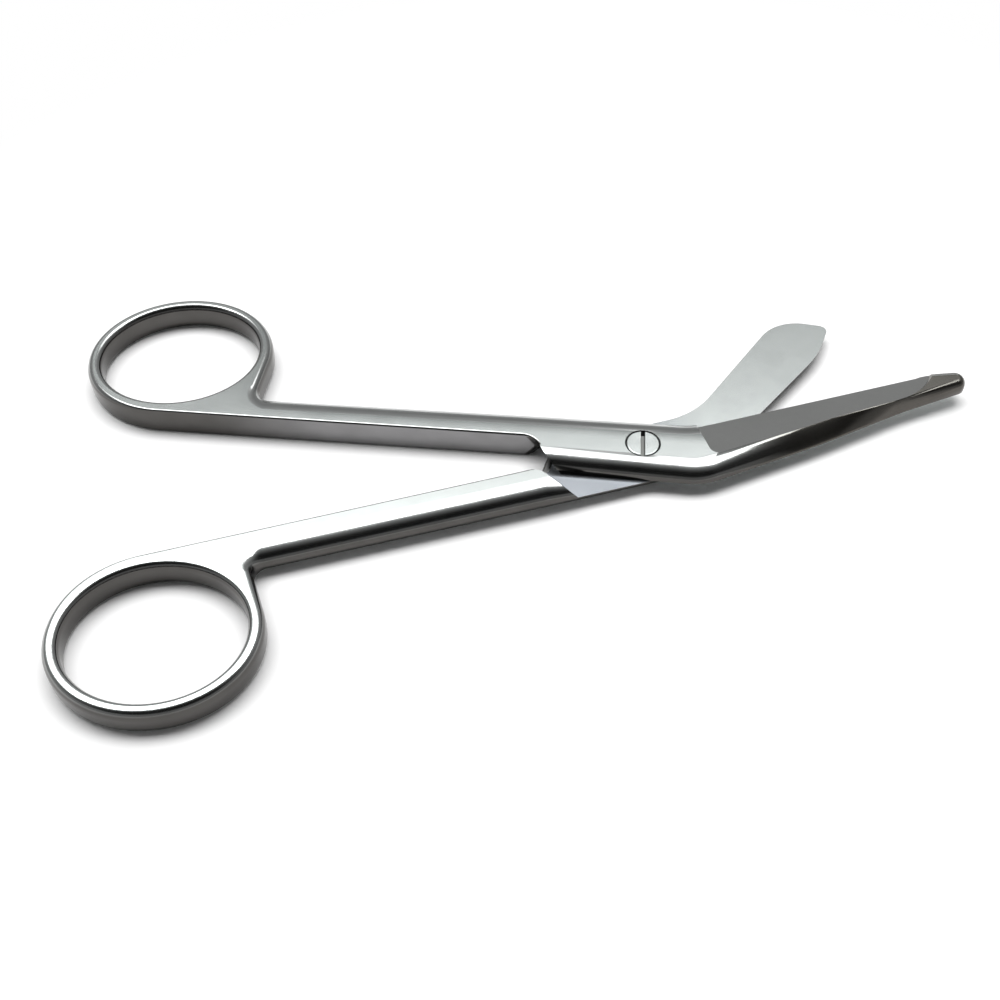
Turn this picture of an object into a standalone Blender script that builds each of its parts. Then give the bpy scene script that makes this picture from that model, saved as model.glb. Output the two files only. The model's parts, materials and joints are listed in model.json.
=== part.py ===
"""Bandage scissors: two forged halves lapped over each other and turning on a slotted screw.

Both halves are drawn in the same way, closed, with the pivot at the origin, the ring towards -X
and +Y, the blade towards +X and the lap in the upper half of the thickness. The probe half is
used as drawn. The plain half is turned over about the X axis, so that its lap comes underneath.
"""
from math import acos, asin, ceil, cos, pi, radians, sin, sqrt, tan

import bmesh
import bpy
from mathutils import Vector

MM = 0.001

# Thickness and fits
THICKNESS = 4.7 * MM
LAP_GAP = 0.1 * MM
CLOSED_GAP = 0.3 * MM
OPEN_ANGLE = 21.5

# Finger rings
RING_REACH = 75.2 * MM
HOLE_LENGTH = 25.2 * MM
HOLE_WIDTH = 22.0 * MM
RING_TILT = 14.0
RING_BAR = 2.3 * MM
NECK_LEAN = 4.0
CROTCH_RADIUS = 1.8 * MM

# Shanks
SHANK_WIDTH_AT_RING = 5.1 * MM
SHANK_WIDTH_AT_LAP = 5.45 * MM

# Lap joint: the shoulder of one half nests against the curved end of the other half's lap
LAP_SIDE = 5.25 * MM
HEEL_SIDE = 5.65 * MM
SHOULDER_REACH = 16.7 * MM
SHOULDER_ANGLE = 63.0
SHOULDER_RUN = 1.8 * MM
SHOULDER_RADIUS = 3.2 * MM

# Probe blade: the long one, with a blunt tip that slides under a dressing
PROBE_REACH = 51.2 * MM
PROBE_BACK_START = 9.4 * MM
PROBE_HEEL_ANGLE = 28.6
PROBE_HEEL_RADIUS = 9.0 * MM
PROBE_BOW = 27.0 * MM
PROBE_BOW_RADIUS = 150.0 * MM
PROBE_BACK_ANGLE = 31.6
PROBE_KNEE_LENGTH = 10.6 * MM
PROBE_KNEE_RADIUS = 40.0 * MM
PROBE_TIP_ANGLE = 27.7
PROBE_EDGE_START = 7.6 * MM
PROBE_EDGE_ANGLE = 21.0
PROBE_EDGE_RADIUS = 12.0 * MM
PROBE_TIP_LENGTH = 7.0 * MM
PROBE_TIP_RADIUS = 1.75 * MM
PROBE_TIP_BLEND = 12.0 * MM

# Plain blade: shorter, wider and more sharply bent, with a rounded crown
PLAIN_REACH = 40.3 * MM
PLAIN_BACK_START = 11.0 * MM
PLAIN_BACK_ANGLE = -37.8
PLAIN_BACK_RADIUS = 13.7 * MM
PLAIN_CROWN_LENGTH = 7.7 * MM
PLAIN_CROWN_TURN = 66.0
PLAIN_CROWN_RADIUS = 7.5 * MM
PLAIN_NOSE_RADIUS = 1.3 * MM
PLAIN_BELLY_LENGTH = 4.4 * MM
PLAIN_BELLY_RADIUS = 20.0 * MM
PLAIN_EDGE_START = 8.2 * MM
PLAIN_EDGE_ANGLE = -33.4
PLAIN_EDGE_RADIUS = 6.0 * MM

# Grinding of the blades: a facet slopes from a ridge near the back down to the edge
RIDGE_AT_HEEL = 3.4 * MM
RIDGE_AT_TIP = 0.95 * MM
RIDGE_CUT = 0.05 * MM
EDGE_THICKNESS = 0.7 * MM
EDGE_BEVEL_ANGLE = 15.0
EDGE_RUN_IN = 2.0 * MM
GRIND_RAMP = 0.5
GRIND_START_LEAN = 3.0
GRIND_START_RADIUS = 1.3 * MM
GRIND_END_RADIUS = 12.0 * MM
PROBE_GRIND_START = 10.6 * MM
PROBE_GRIND_END = 40.0 * MM
PLAIN_GRIND_START = 12.6 * MM

# Rounding of the long edges: its reach over the flat face and its drop down the wall
FORGED_REACH = 3.3 * MM
FORGED_WALL = 0.15 * MM
RING_ROUND_REACH = 1.05 * MM
RING_ROUND_DROP = 1.6 * MM
HOLE_ROUND_REACH = 0.9 * MM
HOLE_ROUND_DROP = 1.4 * MM
TIP_ROUND_REACH = 1.2 * MM
TIP_ROUND_DROP = 1.6 * MM
INNER_ROUND = 0.35 * MM
EDGE_ROUND = 0.1 * MM
BACK_FLATNESS = 1.75

# Pivot screw
SCREW_RADIUS = 1.6 * MM
SCREW_FIT = 0.05 * MM
HEAD_RADIUS = 2.5 * MM
HEAD_LAND = 0.4 * MM
HEAD_HEIGHT = 1.2 * MM
HEAD_FIT = 0.14 * MM
SCREW_CHAMFER = 0.1 * MM
SLOT_WIDTH = 0.6 * MM
SLOT_DEPTH = 0.7 * MM
SLOT_ANGLE = 80.0

# Fineness of the facets
ARC_SAG = 0.012 * MM
LARGEST_ARC_STEP = radians(16.0)
ROUND_STEPS = 5
SCREW_SEGMENTS = 48
OVERSHOOT = 1.2 * MM

STEEL_COLOUR = (0.56, 0.57, 0.58, 1.0)
STEEL_ROUGHNESS = 0.28

# Derived sizes
MID = THICKNESS / 2.0
LAP_FLOOR = LAP_GAP / 2.0
LAP_THICKNESS = MID - LAP_FLOOR
INNER_LINE = CLOSED_GAP / 2.0
WALL_LEAN = SHOULDER_RUN / MID
FIELD = 2.0 * (RING_REACH + HOLE_LENGTH)


def rounding(reach, drop, flatness=1.0):
    """How a long edge is rounded: flatness runs from 1, a full quarter round, to 2, a bevel."""
    return Vector((reach, drop, flatness))


FORGED = rounding(FORGED_REACH, MID - FORGED_WALL)
RING_EDGE = rounding(min(RING_ROUND_REACH, 0.52 * RING_BAR), RING_ROUND_DROP)
HOLE_EDGE = rounding(min(HOLE_ROUND_REACH, 0.43 * RING_BAR), HOLE_ROUND_DROP)
TIP_EDGE = rounding(min(TIP_ROUND_REACH, 0.8 * PROBE_TIP_RADIUS), TIP_ROUND_DROP)
INNER_EDGE = rounding(INNER_ROUND, INNER_ROUND)
CUTTING_EDGE = rounding(EDGE_ROUND, EDGE_ROUND)


class Bend:
    """A rounded corner of an outline.

    The rounding of the long edges runs from one value before the corner to another after it.
    slide moves the corner along X for each unit of height, and lean does the same along the
    outline's inward direction. A mitred corner ends the rounding of the side after it squarely
    against the side before it.
    """

    def __init__(self, at, radius, before, after, slide=0.0, lean=(0.0, 0.0), mitred=False):
        self.at = Vector(at)
        self.radius = radius
        self.before = before
        self.after = after
        self.slide = slide
        self.lean = lean
        self.mitred = mitred


class Stretch:
    """A run of outline points with the rounding of the long edges at each."""

    def __init__(self, points, rounds, lean=(0.0, 0.0)):
        self.points = [Vector(point) for point in points]
        self.rounds = rounds
        self.slide = 0.0
        self.lean = lean
        self.mitred = False


class OutlinePoint:
    """One point of an outline at mid thickness, with how it changes over the thickness."""

    def __init__(self, at, round_over, slide, lean, mitred):
        self.at = at
        self.round_over = round_over
        self.slide = slide
        self.lean = lean
        self.mitred = mitred
        self.inward = Vector((0.0, 0.0))


def arc_steps(radius, angle):
    """Facets that keep an arc within the allowed sag."""
    step = min(2.0 * acos(1.0 - ARC_SAG / max(radius, 2.0 * ARC_SAG)), LARGEST_ARC_STEP)
    return max(2, ceil(abs(angle) / step))


def arc_points(centre, radius, start, end):
    """Points along an arc from one angle to another, both ends included."""
    steps = arc_steps(radius, end - start)
    angles = [start + (end - start) * k / steps for k in range(steps + 1)]
    return [centre + radius * Vector((cos(a), sin(a))) for a in angles]


def direction(angle):
    return Vector((cos(radians(angle)), sin(radians(angle))))


def left_of(vector):
    return Vector((-vector.y, vector.x))


def angle_of(vector):
    return Vector((1.0, 0.0)).angle_signed(vector) * -1.0


def crossing(point_a, way_a, point_b, way_b):
    """Where two lines meet, each given by a point and a direction."""
    across = way_a.cross(way_b)
    return point_a + way_a * ((point_b - point_a).cross(way_b) / across)


def bend_points(before, at, radius, after):
    """The arc that rounds a corner between two straight edges."""
    way_in = (at - before).normalized()
    way_out = (after - at).normalized()
    turn = angle_of(way_out) - angle_of(way_in)
    turn = (turn + pi) % (2.0 * pi) - pi
    tangent = radius * tan(abs(turn) / 2.0)
    side = 1.0 if turn > 0.0 else -1.0
    centre = at - way_in * tangent + left_of(way_in) * radius * side
    start = angle_of(way_in) - side * pi / 2.0
    return arc_points(centre, radius, start, start + turn)


def trace(items):
    """Join bends and stretches, in turn, into one closed outline that runs anticlockwise."""
    outline = []
    for index, item in enumerate(items):
        if isinstance(item, Bend):
            previous = items[index - 1]
            following = items[(index + 1) % len(items)]
            before = previous.at if isinstance(previous, Bend) else previous.points[-1]
            after = following.at if isinstance(following, Bend) else following.points[0]
            points = bend_points(before, item.at, item.radius, after)
            if item.mitred:
                points = [item.at]
            last = max(1, len(points) - 1)
            rounds = [item.before.lerp(item.after, k / last) for k in range(len(points))]
        else:
            points = item.points
            rounds = item.rounds
        for k, point in enumerate(points):
            share = k / max(1, len(points) - 1)
            lean = item.lean[0] + (item.lean[1] - item.lean[0]) * share
            outline.append(OutlinePoint(point, rounds[k], item.slide, lean, item.mitred))
    for k, here in enumerate(outline):
        before = (here.at - outline[k - 1].at).normalized()
        after = (outline[(k + 1) % len(outline)].at - here.at).normalized()
        middle = -before if here.mitred else (left_of(before) + left_of(after)).normalized()
        here.inward = middle / middle.dot(left_of(after))
    return outline


def level_points(outline, share, top):
    """One ring of a rounded plate: share runs from 0 on the wall to 1 on the flat face."""
    ring = []
    for point in outline:
        reach, drop, flatness = point.round_over
        depth = drop * (1.0 - sin(share * pi / 2.0) ** flatness)
        inset = reach * (1.0 - cos(share * pi / 2.0) ** flatness)
        height = (MID - depth) if top else (depth - MID)
        place = point.at + point.inward * (inset + point.lean * height)
        ring.append((place.x + point.slide * height, place.y, height))
    return ring


def rounded_plate(name, outer, hole):
    """A plate of full thickness with rounded long edges round its outline and its hole."""
    levels = [(k / ROUND_STEPS, False) for k in range(ROUND_STEPS, -1, -1)]
    levels += [(k / ROUND_STEPS, True) for k in range(ROUND_STEPS + 1)]
    work = bmesh.new()
    ends = []
    for outline in (outer, hole):
        rings = [[work.verts.new(p) for p in level_points(outline, *level)] for level in levels]
        for lower, upper in zip(rings, rings[1:]):
            for k in range(len(lower)):
                after = (k + 1) % len(lower)
                work.faces.new((lower[k], lower[after], upper[after], upper[k]))
        ends.append((rings[0], rings[-1]))
    for end in (0, 1):
        rim = []
        for loop in ends:
            ring = loop[end]
            rim += [work.edges.get((ring[k - 1], ring[k])) for k in range(len(ring))]
        bmesh.ops.triangle_fill(work, use_beauty=True, edges=rim)
    bmesh.ops.recalc_face_normals(work, faces=work.faces)
    return mesh_object(name, work)


def prism(name, lower, upper):
    """A solid between two matching loops of points."""
    work = bmesh.new()
    low = [work.verts.new(point) for point in lower]
    high = [work.verts.new(point) for point in upper]
    work.faces.new(reversed(low))
    work.faces.new(high)
    for k in range(len(low)):
        after = (k + 1) % len(low)
        work.faces.new((low[k], low[after], high[after], high[k]))
    bmesh.ops.recalc_face_normals(work, faces=work.faces)
    return mesh_object(name, work)


def turned(name, profile):
    """A solid of revolution about Z from a profile of radius and height, bottom to top."""
    work = bmesh.new()
    closed = [(0.0, profile[0][1])] + profile + [(0.0, profile[-1][1])]
    verts = [work.verts.new((radius, 0.0, height)) for radius, height in closed]
    edges = [work.edges.new(pair) for pair in zip(verts, verts[1:])]
    bmesh.ops.spin(work, geom=verts + edges, cent=(0.0, 0.0, 0.0), axis=(0.0, 0.0, 1.0),
                   angle=2.0 * pi, steps=SCREW_SEGMENTS, use_duplicate=False)
    bmesh.ops.remove_doubles(work, verts=work.verts, dist=ARC_SAG / 10.0)
    bmesh.ops.recalc_face_normals(work, faces=work.faces)
    return mesh_object(name, work)


def mesh_object(name, work):
    bmesh.ops.triangulate(work, faces=work.faces)
    mesh = bpy.data.meshes.new(name)
    work.to_mesh(mesh)
    work.free()
    thing = bpy.data.objects.new(name, mesh)
    bpy.context.scene.collection.objects.link(thing)
    return thing


def cut(target, cutter):
    """Take a cutter's shape out of a piece, and keep the cutter as a guide."""
    cutter.hide_render = True
    cutter.display_type = 'WIRE'
    cutter.parent = target
    boolean = target.modifiers.new(cutter.name, 'BOOLEAN')
    boolean.operation = 'DIFFERENCE'
    boolean.solver = 'EXACT'
    boolean.object = cutter


def shoulder_line(height):
    """Where the slanting shoulder line crosses the closing line at a height above mid thickness."""
    return -SHOULDER_REACH + (MID - height) * WALL_LEAN


def ellipse_way(along, across, turn):
    """The direction of travel on an ellipse, anticlockwise, at a turn of its own parameter."""
    flat = Vector((-along * sin(turn), across * cos(turn)))
    tilt = radians(RING_TILT)
    return Vector((flat.x * cos(tilt) - flat.y * sin(tilt), flat.x * sin(tilt) + flat.y * cos(tilt)))


def ellipse_point(centre, along, across, turn):
    flat = Vector((along * cos(turn), across * sin(turn)))
    tilt = radians(RING_TILT)
    return centre + Vector((flat.x * cos(tilt) - flat.y * sin(tilt),
                            flat.x * sin(tilt) + flat.y * cos(tilt)))


def ellipse_turn(along, across, way):
    """The turn at which an ellipse runs in a given direction."""
    tilt = radians(RING_TILT)
    flat = Vector((way.x * cos(tilt) + way.y * sin(tilt), -way.x * sin(tilt) + way.y * cos(tilt)))
    return angle_of(Vector((flat.y / across, -flat.x / along)))


def ring_centre():
    """The middle of the finger hole: the ring's outside just touches the inner line."""
    along = HOLE_LENGTH / 2.0 + RING_BAR
    across = HOLE_WIDTH / 2.0 + RING_BAR
    tilt = radians(RING_TILT)
    half_height = sqrt((along * sin(tilt)) ** 2 + (across * cos(tilt)) ** 2)
    return Vector((-RING_REACH, INNER_LINE + half_height))


def finger_hole():
    along = HOLE_LENGTH / 2.0
    across = HOLE_WIDTH / 2.0
    steps = arc_steps(along, 2.0 * pi)
    turns = [-2.0 * pi * k / steps for k in range(steps)]
    points = [ellipse_point(ring_centre(), along, across, turn) for turn in turns]
    return trace([Stretch(points, [HOLE_EDGE] * steps)])


def handle_items():
    """The shank's outer side, the crotch and the ring, back to the inner line."""
    along = HOLE_LENGTH / 2.0 + RING_BAR
    across = HOLE_WIDTH / 2.0 + RING_BAR
    neck_way = direction(90.0 - NECK_LEAN)
    first = ellipse_turn(along, across, neck_way)
    last = ellipse_turn(along, across, Vector((1.0, 0.0)))
    if last < first:
        last += 2.0 * pi
    steps = arc_steps(along, last - first)
    turns = [first + (last - first) * k / steps for k in range(steps + 1)]
    ring = [ellipse_point(ring_centre(), along, across, turn) for turn in turns]
    rounds = []
    for k in range(steps + 1):
        blend = max(0.0, 4.0 * k / steps - 3.0)
        rounds.append(RING_EDGE.lerp(INNER_EDGE, blend))
    shank_end = Vector((shoulder_line(MID), INNER_LINE + SHANK_WIDTH_AT_LAP))
    shank_start = Vector((-RING_REACH + along, INNER_LINE + SHANK_WIDTH_AT_RING))
    crotch = crossing(ring[0], neck_way, shank_end, shank_start - shank_end)
    return [Bend(shank_end, LAP_SIDE, FORGED, FORGED),
            Bend(crotch, CROTCH_RADIUS, FORGED, RING_EDGE),
            Stretch(ring, rounds)]


def lap_items():
    """The curved end of the lap, from the inner line to the corner at the lap's side."""
    way = direction(-SHOULDER_ANGLE)
    gap = CLOSED_GAP / 2.0 / sin(radians(SHOULDER_ANGLE))
    foot = Vector((shoulder_line(0.0) + gap, 0.0))
    root = crossing(foot, way, Vector((0.0, INNER_LINE)), Vector((1.0, 0.0)))
    corner = crossing(foot, way, Vector((0.0, -LAP_SIDE)), Vector((1.0, 0.0)))
    straight = (root - corner).length - SHOULDER_RADIUS * tan(radians(SHOULDER_ANGLE) / 2.0)
    room = 0.95 * straight * sin(radians(SHOULDER_ANGLE))
    side = rounding(min(FORGED.x, room), FORGED.y)
    return [Bend(root, SHOULDER_RADIUS, INNER_EDGE, INNER_EDGE, slide=-WALL_LEAN),
            Bend(corner, 0.0, side, side, slide=-WALL_LEAN, mitred=True)]


def ridge(heel, heel_way, last, last_way):
    """Where a blade's ridge starts, and its direction, from the back's first and last corner."""
    start = heel + left_of(heel_way) * RIDGE_AT_HEEL
    end = last + left_of(last_way) * RIDGE_AT_TIP
    return start, (end - start).normalized()


def bevel_to_ridge(corner, way, line, flatness):
    """The rounding of a blade's back at a corner: it reaches as far as the ridge."""
    reach = (crossing(corner, left_of(way), *line) - corner).length
    return rounding(reach, FORGED.y, flatness)


def probe_back():
    """The corners of the probe blade's back, from the heel to the tip, and its ridge."""
    upright = Vector((0.0, 1.0))
    heel = Vector((PROBE_BACK_START, -HEEL_SIDE))
    bow = crossing(heel, direction(PROBE_HEEL_ANGLE), Vector((PROBE_BOW, 0.0)), upright)
    knee_x = PROBE_REACH - PROBE_KNEE_LENGTH
    knee = crossing(bow, direction(PROBE_BACK_ANGLE), Vector((knee_x, 0.0)), upright)
    line = ridge(heel, direction(PROBE_HEEL_ANGLE), knee, direction(PROBE_BACK_ANGLE))
    return heel, bow, knee, line


def plain_back():
    """The corners of the plain blade's back, the heel and the crown, and its ridge."""
    way = direction(PLAIN_BACK_ANGLE)
    heel = Vector((PLAIN_BACK_START, -HEEL_SIDE))
    crown_x = PLAIN_REACH - PLAIN_CROWN_LENGTH
    crown = crossing(heel, way, Vector((crown_x, 0.0)), Vector((0.0, 1.0)))
    return heel, crown, ridge(heel, way, crown, way)


def edge_start_items(corner, way, turn, radius, bevel):
    """Where a forged side bends into the cutting edge: it keeps its rounding through the bend."""
    near = corner + way * radius * tan(radians(abs(turn)) / 2.0)
    run_in = [near + way * EDGE_RUN_IN, near + way * EDGE_RUN_IN / ROUND_STEPS]
    return [Stretch(run_in, [CUTTING_EDGE, FORGED], lean=(bevel, 0.0)),
            Bend(corner, radius, FORGED, FORGED)]


def probe_blade_items():
    """The probe blade, from the bend of its back round the tip to the start of its edge."""
    heel, bow, knee, line = probe_back()
    back_way = direction(PROBE_BACK_ANGLE)
    tip_way = direction(PROBE_TIP_ANGLE)
    edge_way = direction(PROBE_EDGE_ANGLE)
    bevel = tan(radians(EDGE_BEVEL_ANGLE))
    upright = Vector((0.0, 1.0))
    edge_start = Vector((PROBE_EDGE_START, HEEL_SIDE))
    on_back = crossing(knee, tip_way, Vector((PROBE_REACH - PROBE_TIP_RADIUS, 0.0)), upright)
    tip = on_back + upright * PROBE_TIP_RADIUS / cos(radians(PROBE_TIP_ANGLE))
    edge_x = PROBE_REACH - PROBE_TIP_LENGTH
    edge_end = crossing(edge_start, edge_way, Vector((edge_x, 0.0)), upright)
    to_tip = tip - edge_end
    last = angle_of(to_tip) + pi / 2.0 + asin(PROBE_TIP_RADIUS / to_tip.length)
    nose = arc_points(tip, PROBE_TIP_RADIUS, radians(PROBE_TIP_ANGLE) - pi / 2.0, last)
    at_heel = bevel_to_ridge(heel, direction(PROBE_HEEL_ANGLE), line, 1.0)
    at_bow = bevel_to_ridge(bow, back_way, line, BACK_FLATNESS)
    at_knee = bevel_to_ridge(knee, back_way, line, BACK_FLATNESS)
    return [Bend(heel, PROBE_HEEL_RADIUS, FORGED, at_heel),
            Bend(bow, PROBE_BOW_RADIUS, at_bow, at_bow),
            Bend(knee, PROBE_KNEE_RADIUS, at_knee, at_knee),
            Stretch(nose, [TIP_EDGE] * len(nose)),
            Bend(edge_end, PROBE_TIP_BLEND, TIP_EDGE, CUTTING_EDGE, lean=(0.0, bevel)),
            *edge_start_items(edge_start, edge_way, PROBE_EDGE_ANGLE, PROBE_EDGE_RADIUS, bevel)]


def plain_blade_items():
    """The plain blade, from the bend of its back over the crown to the start of its edge."""
    heel, crown, line = plain_back()
    back_way = direction(PLAIN_BACK_ANGLE)
    edge_way = direction(PLAIN_EDGE_ANGLE)
    bevel = tan(radians(EDGE_BEVEL_ANGLE))
    upright = Vector((0.0, 1.0))
    edge_start = Vector((PLAIN_EDGE_START, HEEL_SIDE))
    crown_way = direction(PLAIN_BACK_ANGLE + PLAIN_CROWN_TURN)
    nose = crossing(crown, crown_way, Vector((PLAIN_REACH, 0.0)), upright)
    belly = crossing(edge_start, edge_way, Vector((PLAIN_REACH - PLAIN_BELLY_LENGTH, 0.0)), upright)
    at_heel = bevel_to_ridge(heel, back_way, line, 1.0)
    at_crown = bevel_to_ridge(crown, back_way, line, BACK_FLATNESS)
    return [Bend(heel, PLAIN_BACK_RADIUS, FORGED, at_heel),
            Bend(crown, PLAIN_CROWN_RADIUS, at_crown, TIP_EDGE),
            Bend(nose, PLAIN_NOSE_RADIUS, CUTTING_EDGE, CUTTING_EDGE, lean=(0.0, bevel)),
            Bend(belly, PLAIN_BELLY_RADIUS, CUTTING_EDGE, CUTTING_EDGE, lean=(bevel, bevel)),
            *edge_start_items(edge_start, edge_way, PLAIN_EDGE_ANGLE, PLAIN_EDGE_RADIUS, bevel)]


def relief_cutter(name):
    """The lower half of the thickness, cleared for the other half's lap up to the shoulder."""
    def loop(height):
        gap = CLOSED_GAP / 2.0 / sin(radians(SHOULDER_ANGLE))
        way = direction(SHOULDER_ANGLE)
        foot = Vector((shoulder_line(-height) - gap, 0.0))
        line_y = INNER_LINE - LAP_FLOOR
        root = crossing(foot, way, Vector((0.0, line_y)), Vector((1.0, 0.0)))
        top = crossing(foot, way, Vector((0.0, FIELD)), Vector((1.0, 0.0)))
        west = root - Vector((SHOULDER_REACH, 0.0))
        arc = bend_points(top, root, SHOULDER_RADIUS, west)
        low = arc[-1] - Vector((SHOULDER_RADIUS, SHOULDER_RADIUS))
        corners = [low, Vector((low.x, -FIELD)), Vector((FIELD, -FIELD)), Vector((FIELD, FIELD)), top]
        return [(p.x, p.y, height) for p in corners + arc]
    return prism(name, loop(-MID - OVERSHOOT), loop(LAP_FLOOR))


def ground_cutter(name, line, edge_start, edge_angle, first, last, end_radius):
    """The flat ground facet of a blade, sloping from its ridge down to the edge."""
    along = line[1]
    across = left_of(along)
    origin = line[0] - across * RIDGE_CUT
    middle = (first + last) / 2.0
    on_edge = crossing(edge_start, direction(edge_angle), Vector((middle, 0.0)), Vector((0.0, 1.0)))
    slope = (LAP_THICKNESS - EDGE_THICKNESS) / (on_edge - origin).dot(across)
    far = 2.0 * LAP_SIDE
    near = -OVERSHOOT
    start_u = (first - origin.x) / along.x
    end_u = (last - origin.x) / along.x
    sag = ARC_SAG
    start_way = direction(90.0 - GRIND_START_LEAN)
    start_root = Vector((start_u, -sag))
    start_far = start_root + start_way * far
    start_arc = bend_points(start_far, start_root, GRIND_START_RADIUS,
                            start_root + Vector((far, 0.0)))
    end_centre = Vector((end_u, end_radius - sag))
    end_arc = arc_points(end_centre, end_radius, -pi / 2.0, -radians(GRIND_START_LEAN))
    end_far = end_arc[-1] + direction(90.0 - GRIND_START_LEAN) * far
    plan = [start_far] + start_arc + [start_arc[-1] + Vector((-near, near)),
                                      end_arc[0] + Vector((near, near))] + end_arc + [end_far]
    inward = []
    for k, here in enumerate(plan):
        before = (here - plan[k - 1]).normalized()
        after = (plan[(k + 1) % len(plan)] - here).normalized()
        inward.append((left_of(before) + left_of(after)).normalized())

    def place(flat, height):
        spot = origin + along * flat.x + across * flat.y
        return (spot.x, spot.y, height)
    lower = []
    upper = []
    for here, inner in zip(plan, inward):
        depth = max(0.0, here.y) * slope
        foot = here + inner * GRIND_RAMP * depth
        lower.append(place(foot, MID - slope * foot.y))
        upper.append(place(here - inner * GRIND_RAMP * OVERSHOOT, MID + OVERSHOOT))
    return prism(name, lower, upper)


def head_bore():
    """The screw's countersunk seat in the upper lap, open at both ends."""
    radius = SCREW_RADIUS + HEAD_FIT
    head = HEAD_RADIUS + HEAD_FIT
    return turned('head_bore', [(radius, -MID),
                                (radius, MID - HEAD_HEIGHT),
                                (head, MID - HEAD_LAND),
                                (head, MID - SCREW_CHAMFER),
                                (head + SCREW_CHAMFER, MID),
                                (head + SCREW_CHAMFER, MID + OVERSHOOT)])


def thread_bore():
    """The screw's hole in the lower lap."""
    radius = SCREW_RADIUS + SCREW_FIT
    return turned('thread_bore', [(radius, -MID),
                                  (radius, MID - SCREW_CHAMFER),
                                  (radius + SCREW_CHAMFER, MID),
                                  (radius + SCREW_CHAMFER, MID + OVERSHOOT)])


def probe_half():
    """The half that lies on top, with the probe blade and the screw's seat."""
    outline = trace(lap_items() + probe_blade_items() + handle_items())
    half = rounded_plate('probe_half', outline, finger_hole())
    cut(half, relief_cutter('probe_relief'))
    cut(half, ground_cutter('probe_grind', probe_back()[-1],
                            Vector((PROBE_EDGE_START, HEEL_SIDE)), PROBE_EDGE_ANGLE,
                            PROBE_GRIND_START, PROBE_GRIND_END, GRIND_END_RADIUS))
    cut(half, head_bore())
    return half


def plain_half():
    """The half that lies underneath, with the plain blade and the screw's thread."""
    outline = trace(lap_items() + plain_blade_items() + handle_items())
    half = rounded_plate('plain_half', outline, finger_hole())
    cut(half, relief_cutter('plain_relief'))
    cut(half, ground_cutter('plain_grind', plain_back()[-1],
                            Vector((PLAIN_EDGE_START, HEEL_SIDE)), PLAIN_EDGE_ANGLE,
                            PLAIN_GRIND_START, PLAIN_REACH + GRIND_END_RADIUS, GRIND_END_RADIUS))
    cut(half, thread_bore())
    return half


def pivot_screw():
    """The slotted screw, flush with both outer faces."""
    screw = turned('pivot_screw', [(SCREW_RADIUS - SCREW_CHAMFER, -MID),
                                   (SCREW_RADIUS, SCREW_CHAMFER - MID),
                                   (SCREW_RADIUS, MID - HEAD_HEIGHT),
                                   (HEAD_RADIUS, MID - HEAD_LAND),
                                   (HEAD_RADIUS, MID - SCREW_CHAMFER),
                                   (HEAD_RADIUS - SCREW_CHAMFER, MID)])
    way = direction(SLOT_ANGLE)
    side = left_of(way) * SLOT_WIDTH / 2.0
    end = way * (HEAD_RADIUS + OVERSHOOT)
    corners = [end + side, side - end, -end - side, end - side]
    floor = [(p.x, p.y, MID - SLOT_DEPTH) for p in corners]
    roof = [(p.x, p.y, MID + OVERSHOOT) for p in corners]
    cut(screw, prism('screw_slot', floor, roof))
    return screw


def steel(name):
    material = bpy.data.materials.new(name)
    material.use_nodes = True
    shader = material.node_tree.nodes['Principled BSDF']
    shader.inputs['Base Color'].default_value = STEEL_COLOUR
    shader.inputs['Roughness'].default_value = STEEL_ROUGHNESS
    shader.inputs['Metallic'].default_value = 1.0
    return material


def empty(name, parent=None):
    marker = bpy.data.objects.new(name, None)
    bpy.context.scene.collection.objects.link(marker)
    marker.parent = parent
    return marker


def build():
    for thing in list(bpy.data.objects):
        bpy.data.objects.remove(thing, do_unlink=True)
    pivot = empty('pivot')
    pivot.location = (0.0, 0.0, MID)
    upper = empty('upper_side', pivot)
    upper.rotation_euler = (0.0, 0.0, radians(-OPEN_ANGLE / 2.0))
    lower = empty('lower_side', pivot)
    lower.rotation_euler = (pi, 0.0, radians(OPEN_ANGLE / 2.0))
    for piece, parent in ((probe_half(), upper), (plain_half(), lower), (pivot_screw(), pivot)):
        piece.parent = parent
        piece.data.materials.append(steel(piece.name + '_steel'))
        piece.data.shade_smooth()
        piece.data.set_sharp_from_angle(angle=radians(35.0))
    bpy.context.view_layer.update()


build()
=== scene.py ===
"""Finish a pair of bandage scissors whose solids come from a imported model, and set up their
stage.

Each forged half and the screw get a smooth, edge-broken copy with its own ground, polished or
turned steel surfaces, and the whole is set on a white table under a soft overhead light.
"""
import json
from math import cos, pi, radians, sin

import bmesh
import bpy
from bpy.props import FloatProperty, FloatVectorProperty, PointerProperty
from mathutils import Matrix, Vector

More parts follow.
